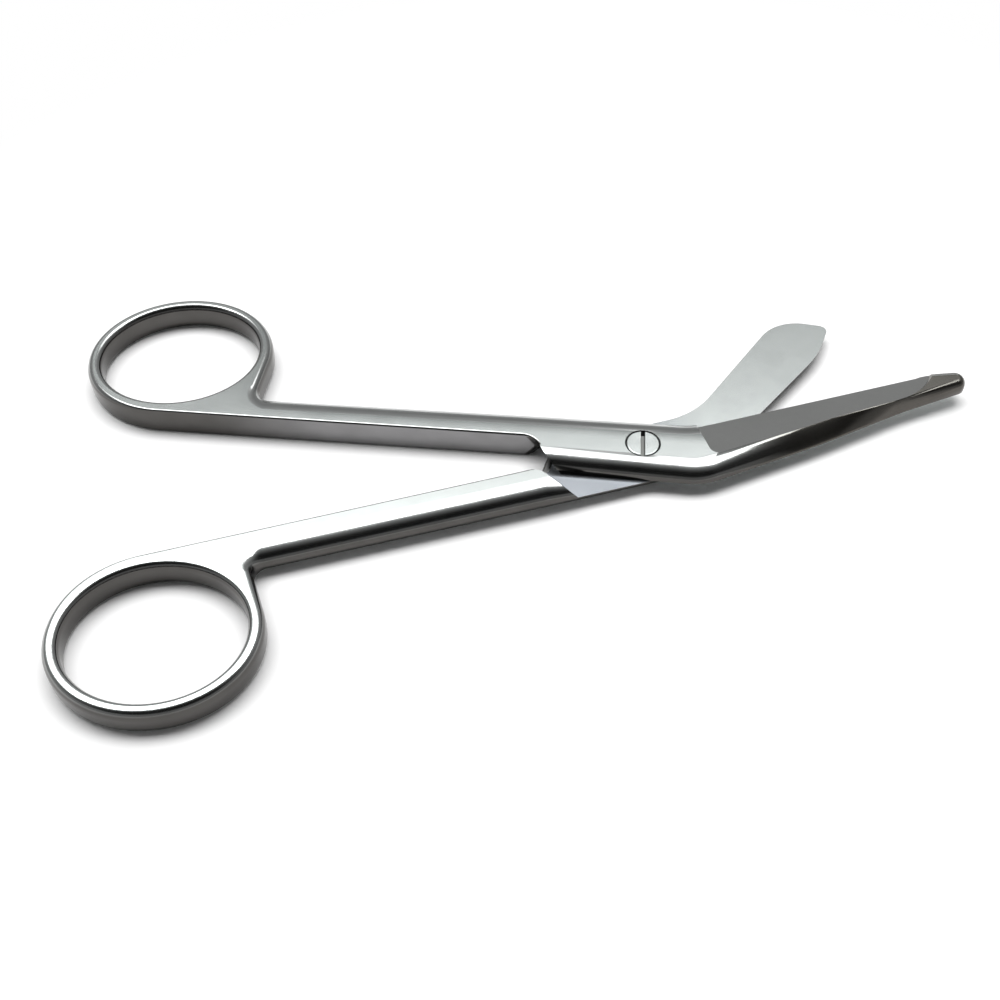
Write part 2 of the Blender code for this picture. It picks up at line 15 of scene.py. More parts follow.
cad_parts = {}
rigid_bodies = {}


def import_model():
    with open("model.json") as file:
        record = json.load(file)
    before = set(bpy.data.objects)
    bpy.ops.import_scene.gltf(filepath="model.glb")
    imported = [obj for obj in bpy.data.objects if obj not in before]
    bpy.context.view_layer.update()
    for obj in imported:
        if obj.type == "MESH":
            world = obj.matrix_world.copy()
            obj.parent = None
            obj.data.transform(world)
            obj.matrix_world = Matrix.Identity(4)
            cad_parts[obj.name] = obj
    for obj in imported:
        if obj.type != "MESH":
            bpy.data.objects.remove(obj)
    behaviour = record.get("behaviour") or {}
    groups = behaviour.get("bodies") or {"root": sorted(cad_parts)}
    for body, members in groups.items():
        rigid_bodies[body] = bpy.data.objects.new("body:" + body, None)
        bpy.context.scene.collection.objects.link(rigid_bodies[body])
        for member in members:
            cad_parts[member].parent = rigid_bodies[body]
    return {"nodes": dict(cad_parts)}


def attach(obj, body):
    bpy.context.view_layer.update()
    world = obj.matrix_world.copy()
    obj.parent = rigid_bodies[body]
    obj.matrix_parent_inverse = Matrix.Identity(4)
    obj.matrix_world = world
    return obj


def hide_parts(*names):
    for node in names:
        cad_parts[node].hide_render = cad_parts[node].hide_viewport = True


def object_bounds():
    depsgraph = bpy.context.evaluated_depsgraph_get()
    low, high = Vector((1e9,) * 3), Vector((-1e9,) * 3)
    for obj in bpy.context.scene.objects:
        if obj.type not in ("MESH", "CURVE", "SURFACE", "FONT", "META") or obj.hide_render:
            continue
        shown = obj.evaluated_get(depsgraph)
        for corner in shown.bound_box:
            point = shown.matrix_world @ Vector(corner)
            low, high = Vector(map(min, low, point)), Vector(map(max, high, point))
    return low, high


bl_info = {
    "name": "Bandage Scissors",
    "version": (1, 0, 0),
    "blender": (4, 5, 0),
    "location": "3D View > Sidebar > Scissors",
    "description": "Finishes the halves and the screw of a pair of bandage scissors",
    "category": "Object",
}

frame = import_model()
CAD_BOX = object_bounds()

# The stock's thickness and the height of the plane in which the two laps meet
THICKNESS = CAD_BOX[1].z - CAD_BOX[0].z
MIDDLE = (CAD_BOX[0].z + CAD_BOX[1].z) / 2.0

# The halves lie open by this much on either side of the middle line
HALF_OPENING = radians(10.75)

# Distances from the pivot along X at which the blades and the probe tip start on one side, and
# the shanks and the rings on the other
BLADE_START = 0.009
TIP_START = 0.03
SHANK_START = 0.012
RING_START = 0.055

# The blades' directions about Z, and the ways in which their ground facets lean
PROBE_BLADE_TURN = radians(14.0)
PLAIN_BLADE_TURN = radians(46.0)
PROBE_FACET = Vector((-0.25, 0.97, 0.0))
PLAIN_FACET = Vector((0.72, -0.69, 0.0))

# Corners closer than this are joined, faces bent less than this are made one, and edges sharper
# than this are broken and not shaded smooth
JOIN_DISTANCE = 0.000001
FLAT_BEND = radians(0.1)
SMOOTH_ANGLE = radians(38.0)
BEVEL_SEGMENTS = 2

# The faces of a flat region turn by less than this from its first one. A region is large when
# its area is more than FLAT_WIDTH times its length, or when it is level and over FLAT_AREA
FLAT_LIMIT = cos(radians(0.3))
FLAT_WIDTH = 0.002
FLAT_AREA = 0.000001
LEVEL_RISE = 0.9995

# How much of a face's direction has to lie along another one, of 1, to face up, to be square on
# or to be dead level, and how much of a ground facet's has to lean its own way
FACING_UP = 0.9
SQUARE_ON = 0.97
DEAD_LEVEL = 0.9998
FACET_LEAN = 0.1

# The finishes of a half and of the screw, in the order of the materials
OUTER, LAP, FORGED, CLOSING, GROUND = range(5)
TURNING, SLOT_WALL, SLOT_FLOOR = range(3)

# The slot's walls and floor lie at these depths below the screw's top and this near its axis
SLOT_DEPTHS = (0.00006, 0.0008)
SLOT_REACH = 0.0023

# Where along X the forged sides turn into the blades' darker backs, the laps into the blades
# and the rings into the shanks, each run changing the painted shade, and where across the
# probe half the painted shade along its far side gives way to clean steel
BACK_RUN = (0.008, 0.026)
LAP_RUN = (-0.004, 0.012)
CLOSING_RUN = (-0.068, -0.045)
FAR_SIDE_SHADE_RUN = (-0.0034, -0.0003)

# How far each finish's roughness strays, and how high its marks are in metres
BELT_MARKS = (0.04, 0.0000006)
LAP_MARKS = (0.01, 0.0000003)
FORGED_MARKS = (0.04, 0.000001)
GRIND_MARKS = (0.04, 0.000002)
LATHE_MARKS = (0.06, 0.00001)

# The marks on the laps and facets are shorter than a belt's, and those on the walls narrower
SHORT_GRAIN = 0.4
NARROW_GRAIN = 0.8

# The clouds' part in the dullness, the rest being the streaks', and how dark full dullness is
CLOUD_SHARE = 0.55
DULL_SHADE = 0.82

# How dark the rings on the screw's top, in its slot and on the slot's floor are
LATHE_SHADE = 0.85
SLOT_WALL_RING_SHADE = 0.6
FLOOR_SHADE = 0.75

# The part of the noise that makes clouds, and the slopes between an upright and a level surface
CLOUD_RANGE = (0.28, 0.72)
LEVEL_RANGE = (0.3, 0.9)

# How bright the curtain is, from its foot at 0 to its top at 1, behind and in front, and where
# along Y the front turns into the back
BACK_WALL = ((0.0, 0.4), (0.38, 0.3), (0.6, 0.4), (0.95, 0.57))
FRONT_WALL = ((0.0, 0.42), (0.26, 0.32), (0.4, 0.01), (1.0, 0.01))
CURTAIN_RUN = (-1.05, 0.9)

# The table's size, how far it lies below the scissors and the sides of every round thing
TABLE_RADIUS = 1.6
TABLE_GAP = 0.00002
CIRCLE_SIDES = 96


class ScissorsFinish(bpy.types.PropertyGroup):
    """Colours, painted shade and textures of the steel."""

    pale_steel: FloatVectorProperty(
        name="Pale steel", description="Colour of the steel where it is cleanest",
        subtype='COLOR', size=3, min=0.0, max=1.0, default=(0.60, 0.635, 0.625))
    # Painted shade: a darker copy of the steel along the far side of the probe half's shank
    far_side_shade_steel: FloatVectorProperty(
        name="Deep steel", description="Colour of the steel along the worn far side of a shank",
        subtype='COLOR', size=3, min=0.0, max=1.0, default=(0.18, 0.195, 0.19))
    # Painted shade: the ground facets are a darker copy of the steel
    ground_shade_steel: FloatVectorProperty(
        name="Ground steel", description="Colour of the ground facets",
        subtype='COLOR', size=3, min=0.0, max=1.0, default=(0.315, 0.32, 0.315))
    # Painted shade: the laps round the screw are a darker copy of the steel
    lap_shade_steel: FloatVectorProperty(
        name="Lap steel", description="Colour of the laps round the screw",
        subtype='COLOR', size=3, min=0.0, max=1.0, default=(0.31, 0.33, 0.355))
    # The lit end of the painted shade on the forged sides, taken by their level parts
    rim_steel: FloatVectorProperty(
        name="Rim steel", description="Colour of the polished rims",
        subtype='COLOR', size=3, min=0.0, max=1.0, default=(0.46, 0.475, 0.47))
    # Painted shade: the upright side walls are near black, a darker copy of the steel
    wall_shade_steel: FloatVectorProperty(
        name="Wall steel", description="Colour of the side walls",
        subtype='COLOR', size=3, min=0.0, max=1.0, default=(0.09, 0.086, 0.082))
    # Painted shade on the shank's wall that faces the other shank
    closing_shade_steel: FloatVectorProperty(
        name="Closing steel", description="Colour of the shank's wall that faces the other shank",
        subtype='COLOR', size=3, min=0.0, max=1.0, default=(0.235, 0.232, 0.235))
    # Painted shade on the top of the probe tip
    tip_shade_steel: FloatVectorProperty(
        name="Tip steel", description="Colour of the top of the probe tip",
        subtype='COLOR', size=3, min=0.0, max=1.0, default=(0.17, 0.165, 0.15))
    # Painted shade on the blades' backs
    back_shade_steel: FloatVectorProperty(
        name="Back steel", description="Colour of the blades' backs",
        subtype='COLOR', size=3, min=0.0, max=1.0, default=(0.095, 0.088, 0.08))
    # Painted shade on the slot's walls, darkened as a recess
    slot_wall_shade: FloatVectorProperty(
        name="Slot dirt", description="Colour of what has settled in the screw's slot",
        subtype='COLOR', size=3, min=0.0, max=1.0, default=(0.05, 0.052, 0.05))
    # Painted shade on the slot's floor, a darker copy of the steel
    slot_floor: FloatVectorProperty(
        name="Slot floor", description="Colour of the floor of the screw's slot",
        subtype='COLOR', size=3, min=0.0, max=1.0, default=(0.2, 0.208, 0.2))
    satin_roughness: FloatProperty(
        name="Satin roughness", description="Roughness of the belt-finished flat faces",
        min=0.0, max=1.0, default=0.21)
    lap_roughness: FloatProperty(
        name="Lap roughness", description="Roughness of the ground faces where the halves meet",
        min=0.0, max=1.0, default=0.25)
    polish_roughness: FloatProperty(
        name="Polish roughness", description="Roughness of the polished rims and walls",
        min=0.0, max=1.0, default=0.17)
    back_roughness: FloatProperty(
        name="Back roughness", description="Roughness of the blades' backs and the probe tip",
        min=0.0, max=1.0, default=0.22)
    ground_roughness: FloatProperty(
        name="Ground roughness", description="Roughness of the ground facets",
        min=0.0, max=1.0, default=0.4)
    # Roughness of the slot's walls, whose colour is painted shade
    slot_wall_roughness: FloatProperty(
        name="Dirt roughness", description="Roughness of what has settled in the slot",
        min=0.0, max=1.0, default=0.55)
    slot_floor_roughness: FloatProperty(
        name="Slot floor roughness", description="Roughness of the slot's floor",
        min=0.0, max=1.0, default=0.45)
    grain_length: FloatProperty(
        name="Grain length", description="Length of a belt mark",
        unit='LENGTH', min=0.0001, default=0.008)
    grain_width: FloatProperty(
        name="Grain width", description="Width of a belt mark",
        unit='LENGTH', min=0.00001, default=0.00022)
    edge_break: FloatProperty(
        name="Edge break", description="Width of the bevel on the crisp edges",
        unit='LENGTH', min=0.0, default=0.00007)


class ScissorsStage(bpy.types.PropertyGroup):
    """Table, light and camera."""

    lens: FloatProperty(
        name="Lens", description="Focal length on a 36 mm sensor", min=1.0, default=45.0)
    azimuth: FloatProperty(
        name="Azimuth", description="Turn of the camera round the scissors",
        subtype='ANGLE', default=radians(-5.608))
    elevation: FloatProperty(
        name="Elevation", description="Height angle of the camera",
        subtype='ANGLE', default=radians(49.637))
    camera_place: FloatVectorProperty(
        name="Camera place", description="Where the camera stands, from the pivot's foot",
        subtype='TRANSLATION', size=3, default=(-0.034265, -0.126764, 0.143709))
    soft_box_place: FloatVectorProperty(
        name="Soft box place", description="Middle of the soft box overhead",
        subtype='TRANSLATION', size=3, default=(-0.1, 0.25, 1.0))
    soft_box_size: FloatVectorProperty(
        name="Soft box size", description="Width and length of the soft box overhead",
        unit='LENGTH', size=2, min=0.01, default=(1.5, 0.5))
    soft_box_power: FloatProperty(
        name="Soft box power", description="Power of the soft box overhead, in watts",
        min=0.0, default=12.9)
    back_box_place: FloatVectorProperty(
        name="Back box place", description="Middle of the weaker soft box behind it",
        subtype='TRANSLATION', size=3, default=(-0.1, 0.66, 1.0))
    back_box_size: FloatVectorProperty(
        name="Back box size", description="Width and length of the weaker soft box",
        unit='LENGTH', size=2, min=0.01, default=(1.5, 0.32))
    back_box_power: FloatProperty(
        name="Back box power", description="Power of the weaker soft box, in watts",
        min=0.0, default=3.7)
    room_light: FloatProperty(
        name="Room light", description="Strength of the room's light on matt surfaces",
        min=0.0, default=0.3)
    curtain_radius: FloatProperty(
        name="Curtain radius", description="Radius of the dark curtain round the scissors",
        unit='LENGTH', min=0.3, default=1.3)
    curtain_height: FloatProperty(
        name="Curtain height", description="Height of the dark curtain round the scissors",
        unit='LENGTH', min=0.1, default=1.44)
    shadow_reach: FloatProperty(
        name="Shadow reach", description="How far from the pivot the table keeps its shadow",
        unit='LENGTH', min=0.0, default=0.098)
    white_from: FloatProperty(
        name="White from", description="How far from the pivot the table turns plain white",
        unit='LENGTH', min=0.0, default=0.15)
    table_colour: FloatVectorProperty(
        name="Table", description="Colour of the table",
        subtype='COLOR', size=3, min=0.0, max=1.0, default=(0.97, 0.97, 0.97))


def choose(thing):
    """Make one object the only selected and active one."""
    bpy.ops.object.select_all(action='DESELECT')
    thing.select_set(True)
    bpy.context.view_layer.objects.active = thing


def new_group(name, output, numbers=()):
    """A node group that makes one number of a vector and of the numbers named, with its nodes,
    its linking function and its two end nodes."""
    group = bpy.data.node_groups.new(name, 'ShaderNodeTree')
    group.interface.new_socket(name="Vector", in_out='INPUT', socket_type='NodeSocketVector')
    for number in numbers:
        group.interface.new_socket(name=number, in_out='INPUT', socket_type='NodeSocketFloat')
    group.interface.new_socket(name=output, in_out='OUTPUT', socket_type='NodeSocketFloat')
    start = group.nodes.new('NodeGroupInput')
    end = group.nodes.new('NodeGroupOutput')
    return group, group.nodes, group.links.new, start, end


def marks_group():
    """Fine marks of a belt or a stone: long streaks in a stretched space, 0 low to 1 high."""
    group, nodes, link, start, end = new_group("belt_marks", "Streaks")
    streaks = nodes.new('ShaderNodeTexNoise')
    streaks.inputs['Scale'].default_value = 1.0
    streaks.inputs['Detail'].default_value = 2.0
    streaks.inputs['Roughness'].default_value = 0.5
    link(start.outputs['Vector'], streaks.inputs['Vector'])
    link(streaks.outputs['Fac'], end.inputs['Streaks'])
    return group


def cloud_group():
    """Soft clouds of handling and polishing, 0 clean to 1 dull."""
    group, nodes, link, start, end = new_group("finish_clouds", "Clouds")
    clouds = nodes.new('ShaderNodeTexNoise')
    clouds.inputs['Scale'].default_value = 240.0
    clouds.inputs['Detail'].default_value = 1.5
    clouds.inputs['Roughness'].default_value = 0.55
    link(start.outputs['Vector'], clouds.inputs['Vector'])
    spread = ranged(nodes, link, clouds.outputs['Fac'], CLOUD_RANGE, smooth=True)
    link(spread, end.inputs['Clouds'])
    return group


def turning_group():
    """Rings left by a lathe round the pivot axis."""
    group, nodes, link, start, end = new_group("turning_marks", "Rings")
    flat = nodes.new('ShaderNodeVectorMath')
    flat.operation = 'MULTIPLY'
    flat.inputs[1].default_value = (1.0, 1.0, 0.0)
    radius = nodes.new('ShaderNodeVectorMath')
    radius.operation = 'LENGTH'
    rings = nodes.new('ShaderNodeTexNoise')
    rings.noise_dimensions = '1D'
    rings.inputs['Scale'].default_value = 5200.0
    rings.inputs['Detail'].default_value = 3.0
    link(start.outputs['Vector'], flat.inputs[0])
    link(flat.outputs['Vector'], radius.inputs[0])
    link(radius.outputs['Value'], rings.inputs['W'])
    link(rings.outputs['Fac'], end.inputs['Rings'])
    return group


def run_group():
    """How far a point has run along X, from 0 at the start to 1 at the end."""
    group, nodes, link, start, end = new_group("run_mask", "Run", ("Start", "End"))
    parts = nodes.new('ShaderNodeSeparateXYZ')
    run = nodes.new('ShaderNodeMapRange')
    run.interpolation_type = 'SMOOTHSTEP'
    link(start.outputs['Vector'], parts.inputs['Vector'])
    link(parts.outputs['X'], run.inputs['Value'])
    link(start.outputs['Start'], run.inputs['From Min'])
    link(start.outputs['End'], run.inputs['From Max'])
    link(run.outputs['Result'], end.inputs['Run'])
    return group


def shared(nodes, link, name, maker, vector):
    """A node that gives a vector to a group, which is made when it is first needed."""
    node = nodes.new('ShaderNodeGroup')
    node.node_tree = bpy.data.node_groups.get(name) or maker()
    link(vector, node.inputs['Vector'])
    return node


def ranged(nodes, link, value, start=(0.0, 1.0), end=(0.0, 1.0), smooth=False):
    """A number that runs through the second range while the value runs through the first."""
    node = nodes.new('ShaderNodeMapRange')
    node.interpolation_type = 'SMOOTHSTEP' if smooth else 'LINEAR'
    node.inputs['From Min'].default_value, node.inputs['From Max'].default_value = start
    node.inputs['To Min'].default_value, node.inputs['To Max'].default_value = end
    link(value, node.inputs['Value'])
    return node.outputs['Result']


def computed(nodes, link, operation, *terms):
    """The result of a sum, each term of which is a number or the output of a node."""
    node = nodes.new('ShaderNodeMath')
    node.operation = operation
    for socket, term in zip(node.inputs, terms):
        if isinstance(term, bpy.types.NodeSocket):
            link(term, socket)
        else:
            socket.default_value = term
    return node.outputs['Value']


def mixed(nodes, link, factor, first, second):
    """A colour between two, each one a colour or the output of a node."""
    mix = nodes.new('ShaderNodeMix')
    mix.data_type = 'RGBA'
    link(factor, mix.inputs['Factor'])
    for socket, colour in ((mix.inputs['A'], first), (mix.inputs['B'], second)):
        if isinstance(colour, bpy.types.NodeSocket):
            link(colour, socket)
        else:
            socket.default_value = (*colour, 1.0)
    return mix.outputs['Result']


def turned(nodes, link, place, turn, size=(1.0, 1.0, 1.0)):
    """A place measured along axes that are turned about Z and have units of their own."""
    mapping = nodes.new('ShaderNodeMapping')
    mapping.vector_type = 'TEXTURE'
    mapping.inputs['Rotation'].default_value = (0.0, 0.0, turn)
    mapping.inputs['Scale'].default_value = size
    link(place, mapping.inputs['Vector'])
    return mapping.outputs['Vector']


def bumped(nodes, link, height, depth):
    """The direction of a surface with marks of a depth in metres."""
    bump = nodes.new('ShaderNodeBump')
    bump.inputs['Distance'].default_value = depth
    link(height, bump.inputs['Height'])
    return bump.outputs['Normal']


def run_mask(nodes, link, place, run):
    """From 0 before a run along X to 1 after it."""
    mask = shared(nodes, link, "run_mask", run_group, place)
    mask.inputs['Start'].default_value, mask.inputs['End'].default_value = run
    return mask.outputs['Run']


def level_mask(nodes, link):
    """From 0 on upright surfaces to 1 on level ones, by the attribute of even_normals."""
    # Upright surfaces, found here, take the darker colours of painted shade
    own = nodes.new('ShaderNodeAttribute')
    own.attribute_name = "level"
    return ranged(nodes, link, own.outputs['Fac'], LEVEL_RANGE, smooth=True)


def new_material(name):
    """A material with its shader, its nodes and its linking function."""
    material = bpy.data.materials.new(name)
    material.use_nodes = True
    tree = material.node_tree
    return material, tree.nodes['Principled BSDF'], tree.nodes, tree.links.new


def steel(name, turn, stretch, tones, roughness, marks, run, across=None):
    """A steel surface with streaks along one direction, clouds and a little unevenness.

    turn is the direction of the streaks about Z, and stretch their size along the axes that it
    gives, in metres. tones has a pair of colours for before the run along X and one for after
    it, each with the colour of upright surfaces first and of level ones second. These are
    lighter and darker copies of the one steel, so where they differ the darker ones are painted
    shade. roughness has one value for before the run and one for after it. marks is how far the
    roughness strays and how high the streaks are. across is an angle about Z and a second run,
    in that direction, along which each pair's first colour turns into its second, in place of
    the slope; a darker first colour there is painted shade along the far side.
    """
    material, shader, nodes, link = new_material(name)
    shader.inputs['Metallic'].default_value = 1.0
    spread, depth = marks
    place = nodes.new('ShaderNodeTexCoord').outputs['Object']
    grain = turned(nodes, link, place, turn, stretch)
    streaks = shared(nodes, link, "belt_marks", marks_group, grain).outputs['Streaks']
    clouds = shared(nodes, link, "finish_clouds", cloud_group, place).outputs['Clouds']
    dullness = computed(nodes, link, 'MULTIPLY_ADD', clouds, CLOUD_SHARE,
                        computed(nodes, link, 'MULTIPLY', streaks, 1.0 - CLOUD_SHARE))
    along = run_mask(nodes, link, place, run)
    if across is None:
        shift = level_mask(nodes, link)
    else:
        shift = run_mask(nodes, link, turned(nodes, link, place, across[0]), across[1])
    clean = mixed(nodes, link, along, mixed(nodes, link, shift, *tones[0]),
                  mixed(nodes, link, shift, *tones[1]))
    dull = nodes.new('ShaderNodeVectorMath')
    dull.operation = 'SCALE'
    dull.inputs['Scale'].default_value = DULL_SHADE
    link(clean, dull.inputs[0])
    link(mixed(nodes, link, dullness, clean, dull.outputs['Vector']),
         shader.inputs['Base Color'])
    stray = ranged(nodes, link, dullness, end=(-spread, spread))
    change = ranged(nodes, link, along, end=roughness)
    link(computed(nodes, link, 'ADD', stray, change), shader.inputs['Roughness'])
    link(bumped(nodes, link, streaks, depth), shader.inputs['Normal'])
    return material


def turned_steel(name, colour, shade, roughness):
    """A face of the screw with lathe rings, the darkest of which have the shade's part of the
    colour."""
    material, shader, nodes, link = new_material(name)
    shader.inputs['Metallic'].default_value = 1.0
    spread, depth = LATHE_MARKS
    place = nodes.new('ShaderNodeTexCoord').outputs['Object']
    rings = shared(nodes, link, "turning_marks", turning_group, place).outputs['Rings']
    link(mixed(nodes, link, rings, colour * shade, colour), shader.inputs['Base Color'])
    link(ranged(nodes, link, rings, end=(roughness - spread, roughness + spread)),
         shader.inputs['Roughness'])
    link(bumped(nodes, link, rings, depth), shader.inputs['Normal'])
    return material


def finished_copy(node, name, edge_break):
    """A smooth copy of a solid: joined up, with flat faces made whole and crisp edges broken."""
    choose(frame["nodes"][node])
    bpy.ops.object.duplicate()
    piece = bpy.context.object
    piece.name = name
    piece.data.name = name
    bpy.ops.object.parent_clear(type='CLEAR_KEEP_TRANSFORM')
    bpy.ops.object.mode_set(mode='EDIT')
    bpy.ops.mesh.select_all(action='SELECT')
    bpy.ops.mesh.customdata_custom_splitnormals_clear()
    bpy.ops.mesh.remove_doubles(threshold=JOIN_DISTANCE)
    bpy.ops.mesh.dissolve_limited(angle_limit=FLAT_BEND)
    bpy.ops.object.mode_set(mode='OBJECT')
    bevel = piece.modifiers.new("edge_break", 'BEVEL')
    bevel.width = edge_break
    bevel.segments = BEVEL_SEGMENTS
    bevel.limit_method = 'ANGLE'
    bevel.angle_limit = SMOOTH_ANGLE
    bpy.ops.object.modifier_apply(modifier=bevel.name)
    bpy.ops.object.shade_smooth_by_angle(angle=SMOOTH_ANGLE)
    even_normals(piece.data)
    return piece


def flat_regions(mesh):
    """The direction of the flat region that each face lies in, for regions that are large."""
    work = bmesh.new()
    work.from_mesh(mesh)
    work.faces.ensure_lookup_table()
    direction_of = {}
    seen = set()
    for seed in work.faces:
        if seed.index in seen:
            continue
        seen.add(seed.index)
        # The region grows while it is gone through
        region = [seed]
        for face in region:
            for edge in face.edges:
                for beside in edge.link_faces:
                    even = beside.normal.dot(seed.normal) > FLAT_LIMIT
                    if even and beside.index not in seen:
                        seen.add(beside.index)
                        region.append(beside)
        corners = [vertex.co for face in region for vertex in face.verts]
        far = max(corners, key=lambda corner: (corner - corners[0]).length)
        length = max((corner - far).length for corner in corners)
        area = sum(face.calc_area() for face in region)
        level = abs(seed.normal.z) > LEVEL_RISE
        if area > FLAT_WIDTH * length or level and area > FLAT_AREA:
            largest = max(region, key=lambda face: face.calc_area())
            for face in region:
                direction_of[face.index] = largest.normal.copy()
    work.free()
    return direction_of


def even_normals(mesh):
    """Shade each flat region flat, let the roundings beside it run into it, and note how level
    each corner is."""
    direction_of = flat_regions(mesh)
    beside = {}
    for index, direction in direction_of.items():
        for vertex in mesh.polygons[index].vertices:
            beside.setdefault(vertex, set()).add(direction.freeze())
    normals = [corner.vector.copy() for corner in mesh.corner_normals]
    for face in mesh.polygons:
        own = direction_of.get(face.index)
        for loop in face.loop_indices:
            flats = beside.get(mesh.loops[loop].vertex_index, ())
            nearest = max(flats, key=lambda flat: flat.dot(face.normal), default=None)
            if own is not None:
                normals[loop] = own
            elif nearest is not None and nearest.dot(face.normal) > cos(SMOOTH_ANGLE):
                normals[loop] = nearest
    mesh.normals_split_custom_set(normals)
    level = mesh.attributes.new("level", 'FLOAT', 'CORNER')
    level.data.foreach_set("value", [abs(normal.z) for normal in normals])


def dress_half(piece, turn, side, facet, materials):
    """Give each face of a half its finish, by where it lies and which way it faces.

    turn is the half's angle, side is 1 for the half on top and -1 for the one underneath, and
    facet is the way in which its blade's ground facet leans, seen from above.
    """
    piece.data.materials.clear()
    for material in materials:
        piece.data.materials.append(material)
    inward = Vector((sin(turn), -cos(turn), 0.0)) * side
    for face in piece.data.polygons:
        along = face.center.x
        from_middle = abs(face.center.z - MIDDLE)
        rise = face.normal.z * side
        leaning = face.normal.dot(facet) > FACET_LEAN
        if rise > FACING_UP and along > BLADE_START and leaning:
            face.material_index = GROUND
        elif rise < -SQUARE_ON:
            face.material_index = LAP if from_middle < THICKNESS / 4.0 else OUTER
        elif face.normal.dot(inward) > SQUARE_ON and -RING_START < along < -SHANK_START:
            face.material_index = CLOSING
        elif rise > DEAD_LEVEL and along < TIP_START:
            face.material_index = OUTER
        else:
            face.material_index = FORGED


def half_materials(name, turn, blade_turn, finish, across=None):
    """The five surfaces of one half, in the order of the numbers OUTER to GROUND."""
    length, width = finish.grain_length, finish.grain_width
    long_grain = (length, width, width)
    short_grain = (length * SHORT_GRAIN, width, width)
    wall_grain = (length, length, width * NARROW_GRAIN)
    # All but pale hold painted shade: darker copies of the one steel, with rim the lit end
    pale = (finish.pale_steel, finish.pale_steel)
    darkened = (finish.far_side_shade_steel, finish.pale_steel)
    laps = (finish.lap_shade_steel, finish.lap_shade_steel)
    ground = (finish.ground_shade_steel, finish.ground_shade_steel)
    sides = (finish.wall_shade_steel, finish.rim_steel)
    closing = (finish.closing_shade_steel, finish.rim_steel)
    backs = (finish.back_shade_steel, finish.tip_shade_steel)
    satin, polish = finish.satin_roughness, finish.polish_roughness
    lap_rough, grind_rough = finish.lap_roughness, finish.ground_roughness
    return [
        steel(name + "_belt_finish_and_shade", turn, long_grain, (pale, darkened),
              (satin, satin), BELT_MARKS, CLOSING_RUN, across),
        steel(name + "_lap_finish_and_shade", blade_turn, short_grain, (laps, pale),
              (lap_rough, lap_rough), LAP_MARKS, LAP_RUN),
        steel(name + "_forged_polish_and_shade", turn, wall_grain, (sides, backs),
              (polish, finish.back_roughness), FORGED_MARKS, BACK_RUN),
        steel(name + "_closing_finish_and_shade", turn, wall_grain, (sides, closing),
              (polish, satin), FORGED_MARKS, CLOSING_RUN),
        steel(name + "_grind", blade_turn + pi / 2.0, short_grain, (ground, ground),
              (grind_rough, grind_rough), GRIND_MARKS, BACK_RUN),
    ]


class SCISSORS_OT_probe_half(bpy.types.Operator):
    """Finish the half that lies on top, with the probe blade"""

    bl_idname = "scissors.probe_half"
    bl_label = "Probe half"

    def execute(self, context):
        finish = context.scene.scissors_finish
        piece = finished_copy("probe_half", "probe_half_finished", finish.edge_break)
        # Painted shade across the probe half's shank, darkest along its far side
        across = (-HALF_OPENING - pi / 2.0, FAR_SIDE_SHADE_RUN)
        materials = half_materials("probe", -HALF_OPENING, PROBE_BLADE_TURN, finish, across)
        dress_half(piece, -HALF_OPENING, 1.0, PROBE_FACET, materials)
        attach(piece, "upper_half")
        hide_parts("probe_half")
        return {'FINISHED'}


class SCISSORS_OT_plain_half(bpy.types.Operator):
    """Finish the half underneath, with the plain blade"""

    bl_idname = "scissors.plain_half"
    bl_label = "Plain half"

    def execute(self, context):
        finish = context.scene.scissors_finish
        piece = finished_copy("plain_half", "plain_half_finished", finish.edge_break)
        materials = half_materials("plain", HALF_OPENING, PLAIN_BLADE_TURN, finish)
        dress_half(piece, HALF_OPENING, -1.0, PLAIN_FACET, materials)
        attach(piece, "lower_half")
        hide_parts("plain_half")
        return {'FINISHED'}


class SCISSORS_OT_pivot_screw(bpy.types.Operator):
    """Finish the slotted pivot screw"""

    bl_idname = "scissors.pivot_screw"
    bl_label = "Pivot screw"

    def execute(self, context):
        finish = context.scene.scissors_finish
        piece = finished_copy("pivot_screw", "pivot_screw_finished", finish.edge_break)
        piece.data.materials.clear()
        # The slot's walls and floor take darker colours as painted shade in the recess
        for name, colour, shade, roughness in (
                ("screw_turning", finish.pale_steel, LATHE_SHADE, finish.satin_roughness),
                ("slot_wall_shade", finish.slot_wall_shade, SLOT_WALL_RING_SHADE, finish.slot_wall_roughness),
                ("slot_floor", finish.slot_floor, FLOOR_SHADE, finish.slot_floor_roughness)):
            piece.data.materials.append(turned_steel(name, colour, shade, roughness))
        for face in piece.data.polygons:
            depth = CAD_BOX[1].z - face.center.z
            in_slot = SLOT_DEPTHS[0] < depth < SLOT_DEPTHS[1]
            if not in_slot or face.center.xy.length >= SLOT_REACH:
                face.material_index = TURNING
            else:
                face.material_index = SLOT_FLOOR if face.normal.z > FACING_UP else SLOT_WALL
        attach(piece, "lower_half")
        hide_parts("pivot_screw")
        return {'FINISHED'}


def seen_mask(nodes, link):
    """1 for what is seen by the camera, in a reflection or through glass, and 0 for the rest."""
    light = nodes.new('ShaderNodeLightPath').outputs
    seen = computed(nodes, link, 'MAXIMUM', light['Is Camera Ray'], light['Is Glossy Ray'])
    return computed(nodes, link, 'MAXIMUM', seen, light['Is Transmission Ray'])


